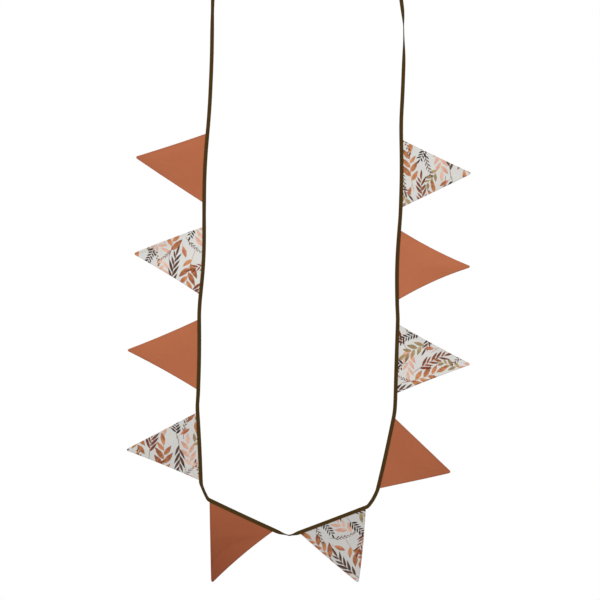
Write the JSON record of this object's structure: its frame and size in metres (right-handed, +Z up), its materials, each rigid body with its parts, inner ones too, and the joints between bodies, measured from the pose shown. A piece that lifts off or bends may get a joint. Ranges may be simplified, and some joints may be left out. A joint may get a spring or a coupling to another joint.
{
  "type": "bunting",
  "caption": "Fabric bunting in a deep U: plain and leaf-print cotton pennants sewn into a long folded brown tape, hung by its two ends.",
  "frame": {"origin": "middle of the tape's left end, at its top edge, where the bunting is held", "axes": "+Z up along the hanging tape ends, +X to the right across the U, -Y the front that faces the viewer"},
  "size_m": [0.8559, 0.0857, 1.514],
  "materials": {
    "binding": "dark brown woven cotton tape, matt",
    "plain_cotton": "terracotta plain-weave cotton, matt",
    "printed_cotton": "off-white plain-weave cotton with a small leaf print in rust, brown and ochre, matt"
  },
  "bodies": {
    "root": {"tape": "binding", "pennant_01": "plain_cotton", "pennant_02": "printed_cotton", "pennant_03": "plain_cotton", "pennant_04": "printed_cotton", "pennant_05": "plain_cotton", "pennant_06": "printed_cotton", "pennant_07": "plain_cotton", "pennant_08": "printed_cotton", "pennant_09": "plain_cotton", "pennant_10": "printed_cotton"}
  },
  "joints": []
}
